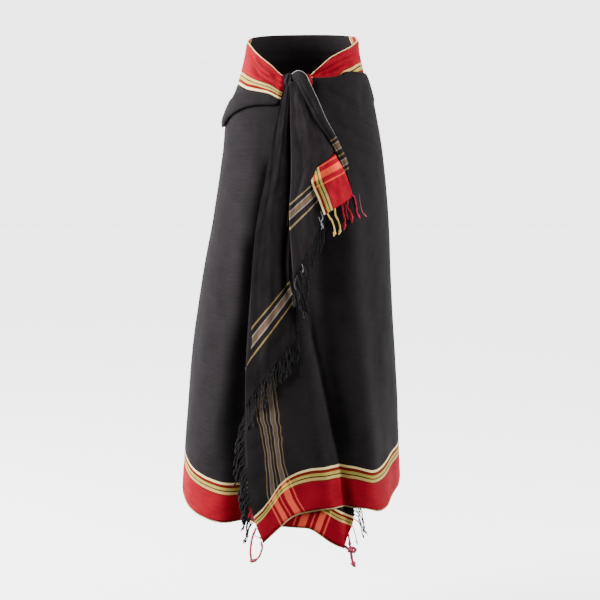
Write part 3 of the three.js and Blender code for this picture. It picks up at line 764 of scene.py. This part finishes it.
def bunchPlace(bunch):
    def place(column, row):
        u, v = column / bunchGrid * 2 - 1, row / bunchGrid * 2 - 1
        x = mix(*bunch["x"], 0.5 + 0.5 * u * math.sqrt(1 - 0.5 * v * v))  # a disc from a square
        z = mix(*bunch["z"], 0.5 + 0.5 * v * math.sqrt(1 - 0.5 * u * u))
        dome = max(0, (1 - u * u) * (1 - v * v)) ** bunchFullness
        waves = math.sin(u * bunchFolds[0] + v * bunchFolds[1])
        return frontPoint(x, z, bunch["lift"] + bunch["out"] * dome + bunch["folds"] * waves * dome)
    return place


def bunchPattern(bunch):
    return lambda column, row: (400, mix(*bunch["across"], column / bunchGrid))


for name, bunch in bunches.items():
    piece = makeSheet(name, (bunchGrid, bunchGrid), bunchPlace(bunch), bunchPattern(bunch),
                      skirt["thickness"], doubleCloth)
print("knot made")


# Fringe: each strand is two yarns twisted together, with a knot near its end
twist = {
    "yarnRadius": 0.85, "offset": 0.75, "pitch": 7, "step": 1.6,
    "knotAt": 7, "knotSize": 2.3, "knotLength": 2.4, "knotSpread": 0.6,
    "fewestSteps": 8, "probes": 20, "turnEach": 1.7, "tasselTurnEach": 2.3,
    "joints": 9, "hangsBy": 1.8, "sway": 0.3, "wave": 0.26, "waves": 9,  # it sways at random, in a wave too
    "scatter": 0.25, "lengthSpread": 0.22, "buried": 1.5,
}


def addStrand(curve, spine, colour, seed, size=1.0):
    table = numbered(spine)
    length = sum((b - a).length for a, b in zip(spine, spine[1:]))
    count = max(twist["fewestSteps"], round(length / twist["step"]))
    centres = [Vector([lookUp(table, i / count * (len(spine) - 1), axis) for axis in (1, 2, 3)])
               for i in range(count + 1)]
    for yarnStart in (0, math.pi):
        spline = curve.splines.new("POLY")
        spline.points.add(count)
        spline.material_index = yarnNames.index(colour)
        for i, point in enumerate(spline.points):
            way = (centres[min(count, i + 1)] - centres[max(0, i - 1)]).normalized()
            side = way.cross(Vector((0, 1, 0.1))).normalized()
            knot = math.exp(-(((count - i) * twist["step"] - twist["knotAt"]) / twist["knotLength"]) ** 2)
            turn = yarnStart + i * twist["step"] / twist["pitch"] * 2 * math.pi + seed
            out = twist["offset"] * size * (1 + twist["knotSpread"] * knot)
            place = centres[i] + (side * math.cos(turn) + way.cross(side) * math.sin(turn)) * out
            point.co = (*(place * mm), 1)
            point.radius = size * (1 + (twist["knotSize"] - 1) * knot)


def hangSpine(root, away, length, lean, floor, seed):
    joints = twist["joints"]
    hang = Vector((0, 0, -1)) + away * lean
    spine = [root]
    for i in range(1, joints + 1):
        share = i / joints
        way = away.lerp(hang, ease(share * twist["hangsBy"]))
        way.x += twist["sway"] * wobble(seed + i) + twist["wave"] * math.sin(share * twist["waves"] + seed)
        step = spine[-1] + way.normalized() * length / joints
        if floor is not None:
            step.y = min(step.y, frontPoint(step.x, step.z, floor).y)
        spine.append(step)
    return spine


def edgeStrands(place, grid, stretch, hanging):
    lastColumn, lastRow = grid
    start, stop, side = stretch  # "bottom" runs along the last row, "first" or "last" down that column
    pitch, length, lean, floor, colour, size, seed = hanging

    def at(share):
        column, row = {"bottom": (share * lastColumn, lastRow), "first": (0, share * lastRow),
                       "last": (lastColumn, share * lastRow)}[side]
        columnStep, rowStep = {"bottom": (0, -0.5), "first": (0.5, 0), "last": (-0.5, 0)}[side]
        root = place(column, row)
        return root, (root - place(column + columnStep, row + rowStep)).normalized()

    probes = [at(mix(start, stop, i / twist["probes"]))[0] for i in range(twist["probes"] + 1)]
    run = sum((b - a).length for a, b in zip(probes, probes[1:]))
    count = max(2, round(run / pitch))
    spines = []
    for i in range(count):
        root, away = at(mix(start, stop, (i + 0.5 + twist["scatter"] * wobble(seed + i * 3)) / count))
        strandLength = length * (1 + twist["lengthSpread"] * wobble(seed + i * 7))
        spine = hangSpine(root - away * twist["buried"], away, strandLength, lean, floor, seed + i * 11)
        spines.append((spine, colour, size))
    return spines


def wrapPlace(column, row):
    return wrapPoint(column, row)[0]


# Strands that stand out on their own: yarn, thickness, then their route as x, height and lift
tassels = {
    "border_corner_fringe": [
        ("cream", 1.5, [(56, -354, 30), (60, -358, 31), (65, -366, 33), (71, -376, 33), (76, -396, 32),
                        (74, -408, 32)]),
        ("cream", 1.5, [(74, -345, 30), (76, -347, 31), (78, -362, 33), (84, -375, 33), (88, -392, 32),
                        (85, -405, 32)]),
        ("red", 1.5, [(91, -336, 30), (93, -341, 31), (95, -358, 33), (99, -373, 33), (97, -396, 32)]),
        ("red", 1.5, [(103, -328, 29), (105, -332, 30), (105, -347, 32), (113, -359, 33), (115, -381, 32)]),
        ("magenta", 1.5, [(116, -321, 28), (120, -324, 29), (125, -346, 31), (126, -360, 31),
                          (133, -374, 30)]),
        ("palePink", 0.9, [(127, -313, 19), (131, -321, 21), (135, -346, 23), (139, -361, 23),
                           (149, -374, 22)]),
        ("red", 0.9, [(98, -334, 29), (101, -344, 31), (103, -360, 32), (106, -372, 32)]),
    ],
    "fan_fringe": [
        # the pale ash strands and the grey one are painted highlights on the black fringe
        ("paintedHighlightAsh", 0.8, [(44, -352, 26), (49, -366, 28), (45, -378, 28), (51, -390, 28)]),
        ("paintedHighlightAsh", 0.6, [(40, -364, 26), (43, -374, 28), (49, -382, 28), (46, -392, 28)]),
        ("paintedHighlightAsh", 0.6, [(2, -470, 26), (5, -482, 28), (1, -494, 28)]),
        ("jet", 1.7, [(-24, -512, 28), (-20, -530, 31), (-12, -548, 30), (-14, -566, 28)]),
        ("jet", 2.0, [(-16, -506, 28), (-8, -524, 32), (-6, -550, 31), (0, -574, 28)]),
        ("jet", 1.9, [(-8, -496, 28), (-2, -518, 32), (4, -544, 30), (5, -570, 28), (12, -598, 24)]),
        ("jet", 2.0, [(0, -486, 27), (6, -506, 31), (2, -530, 31), (10, -560, 28), (7, -588, 25)]),
        ("jet", 1.8, [(8, -476, 27), (12, -500, 30), (15, -528, 29), (11, -556, 27), (16, -582, 25)]),
        ("paintedHighlightGrey", 1.2, [(-12, -502, 29), (-14, -520, 33), (-4, -536, 32), (-7, -552, 30)]),
    ],
    "outer_corner_fringe": [
        ("pink", 2.2, [(-104, -1088, 8), (-113, -1112, 9), (-117, -1140, 9), (-116, -1158, 9),
                       (-113, -1170, 9)]),
        ("pink", 2.0, [(-92, -1120, 8), (-90, -1135, 9), (-98, -1156, 9), (-112, -1168, 9)]),
        ("pink", 0.9, [(-106, -1106, 8), (-100, -1108, 10), (-94, -1110, 9), (-90, -1113, 8)]),
        # a grey strand as a painted highlight on the fringe
        ("paintedHighlightGrey", 0.9, [(-110, -1062, 8), (-117, -1081, 9), (-122, -1100, 9), (-124, -1114, 9)]),
    ],
    "inner_corner_fringe": [
        ("pink", 1.8, [(109, -1108, 0), (112, -1122, 0), (114, -1140, 1)]),
        ("pink", 2.8, [(102, -1138, 0), (110, -1144, 1), (117, -1141, 2), (127, -1146, 1), (122, -1152, 2),
                       (115, -1146, 3), (110, -1150, 2)]),
        ("pink", 2.6, [(115, -1145, 1), (117, -1160, 2), (119, -1172, 2), (125, -1188, 2)]),
        ("palePink", 0.9, [(118, -1086, 0), (124, -1104, 1), (128, -1120, 1), (131, -1136, 1)]),
    ],
}
# Where a stretch of fringe starts and stops along its edge, and which edge; then the pitch, length and lean
# of its strands, the lift of what they lie on, and their colour, thickness and seed
fringes = {
    "cascade_fringe": edgeStrands(panelPlace(cascade), cascade["grid"], (0.03, 0.96, "bottom"),
                                  (5.5, 60, 0.0, 13, "charcoal", 0.75, 3)),
    "fan_fringe": edgeStrands(panelPlace(fan), fan["grid"], (0.08, 0.97, "bottom"),
                              (6, 58, 0.0, 24, "black", 0.9, 5)),
    "outer_end_fringe": edgeStrands(wrapPlace, (columns, rows), (0.79, 0.965, "last"),
                                    (5.6, 64, 0.42, 8, "black", 1, 13))
    + edgeStrands(wrapPlace, (columns, rows), (0.875, 0.94, "last"), (3.6, 54, 0.2, 9, "jet", 1.4, 77)),
    "inner_end_fringe": edgeStrands(wrapPlace, (columns, rows), (0.6, 0.955, "first"),
                                    (9, 56, 0.45, None, "black", 1, 34)),
    "border_corner_fringe": [], "outer_corner_fringe": [], "inner_corner_fringe": [],
}
for name, strands in fringes.items():
    curve = bpy.data.curves.new(name + "_yarn", "CURVE")
    curve.dimensions = "3D"
    curve.bevel_depth = twist["yarnRadius"] * mm
    curve.bevel_resolution = 0
    curve.use_fill_caps = True
    for material in yarnMaterials:
        curve.materials.append(material)
    for index, (spine, colour, size) in enumerate(strands):
        addStrand(curve, spine, colour, index * twist["turnEach"], size)
    for index, (colour, size, route) in enumerate(tassels.get(name, [])):
        spine = [frontPoint(*point) for point in route]
        addStrand(curve, spine, colour, index * twist["tasselTurnEach"], size)
    piece = bpy.data.objects.new(name + "_yarn", curve)
    bpy.context.collection.objects.link(piece)
    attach(piece, "root")
    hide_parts(name)
print("fringe made")

# Plain studio: a pale sweep that glows a little, and a soft box on each side
studio = {  # metres
    "floor": -1.42, "front": 0.0, "back": 5.6, "deep": 9.0, "halfWidth": 6, "curve": 0.55, "steps": 24,
    "glow": 2.7, "world": 0.14, "aim": (0, 0, -0.6),
}
paperLook = {
    "Base Color": linear("#f4f4f4"), "Roughness": 0.9,
    "Emission Color": (1, 1, 1, 1), "Emission Strength": studio["glow"],
}
sweepMesh = bmesh.new()
bmesh.ops.create_grid(sweepMesh, x_segments=1, y_segments=studio["steps"], size=studio["halfWidth"])
for vert in sweepMesh.verts:
    vert.co.y = mix(studio["front"], studio["deep"], vert.co.y / studio["halfWidth"] / 2 + 0.5)
    vert.co.z = studio["floor"] + max(0, vert.co.y - studio["back"]) ** 2 * studio["curve"]
mesh = bpy.data.meshes.new("sweep")
sweepMesh.to_mesh(mesh)
sweepMesh.free()
sweep = bpy.data.objects.new("sweep", mesh)
bpy.context.collection.objects.link(sweep)
mesh.materials.append(newMaterial("matt white paper", paperLook)[0])

world = bpy.data.worlds.new("studio")
bpy.context.scene.world = world
world.use_nodes = True
world.node_tree.nodes["Background"].inputs["Color"].default_value = (1, 1, 1, 1)
world.node_tree.nodes["Background"].inputs["Strength"].default_value = studio["world"]
lamps = {  # place, size in metres, watts
    "left_box": ((-2.8, -0.4, 0.6), 1.4, 400),
    "right_box": ((2.7, -0.9, 0.5), 1.4, 170),
    "front_box": ((-0.6, -4.3, 2.2), 1.6, 42),
}
for name, (place, size, power) in lamps.items():
    lamp = bpy.data.objects.new(name, bpy.data.lights.new(name, "AREA"))
    lamp.data.size = size
    lamp.data.energy = power
    lamp.location = place
    lamp.rotation_euler = (Vector(studio["aim"]) - Vector(place)).to_track_quat("-Z", "Y").to_euler()
    bpy.context.collection.objects.link(lamp)

view = {"target": Vector((-0.0024, 0, -0.595)), "distance": 5.0, "elevation": 12, "lens": 127.1}
camera = bpy.data.objects.new("camera", bpy.data.cameras.new("camera"))
camera.data.lens = view["lens"]
camera.data.sensor_width = 36
rise = math.radians(view["elevation"])
camera.location = view["target"] + Vector((0, -math.cos(rise), math.sin(rise))) * view["distance"]
camera.rotation_euler = (view["target"] - camera.location).to_track_quat("-Z", "Y").to_euler()
bpy.context.collection.objects.link(camera)
bpy.context.scene.camera = camera
print("studio ready")
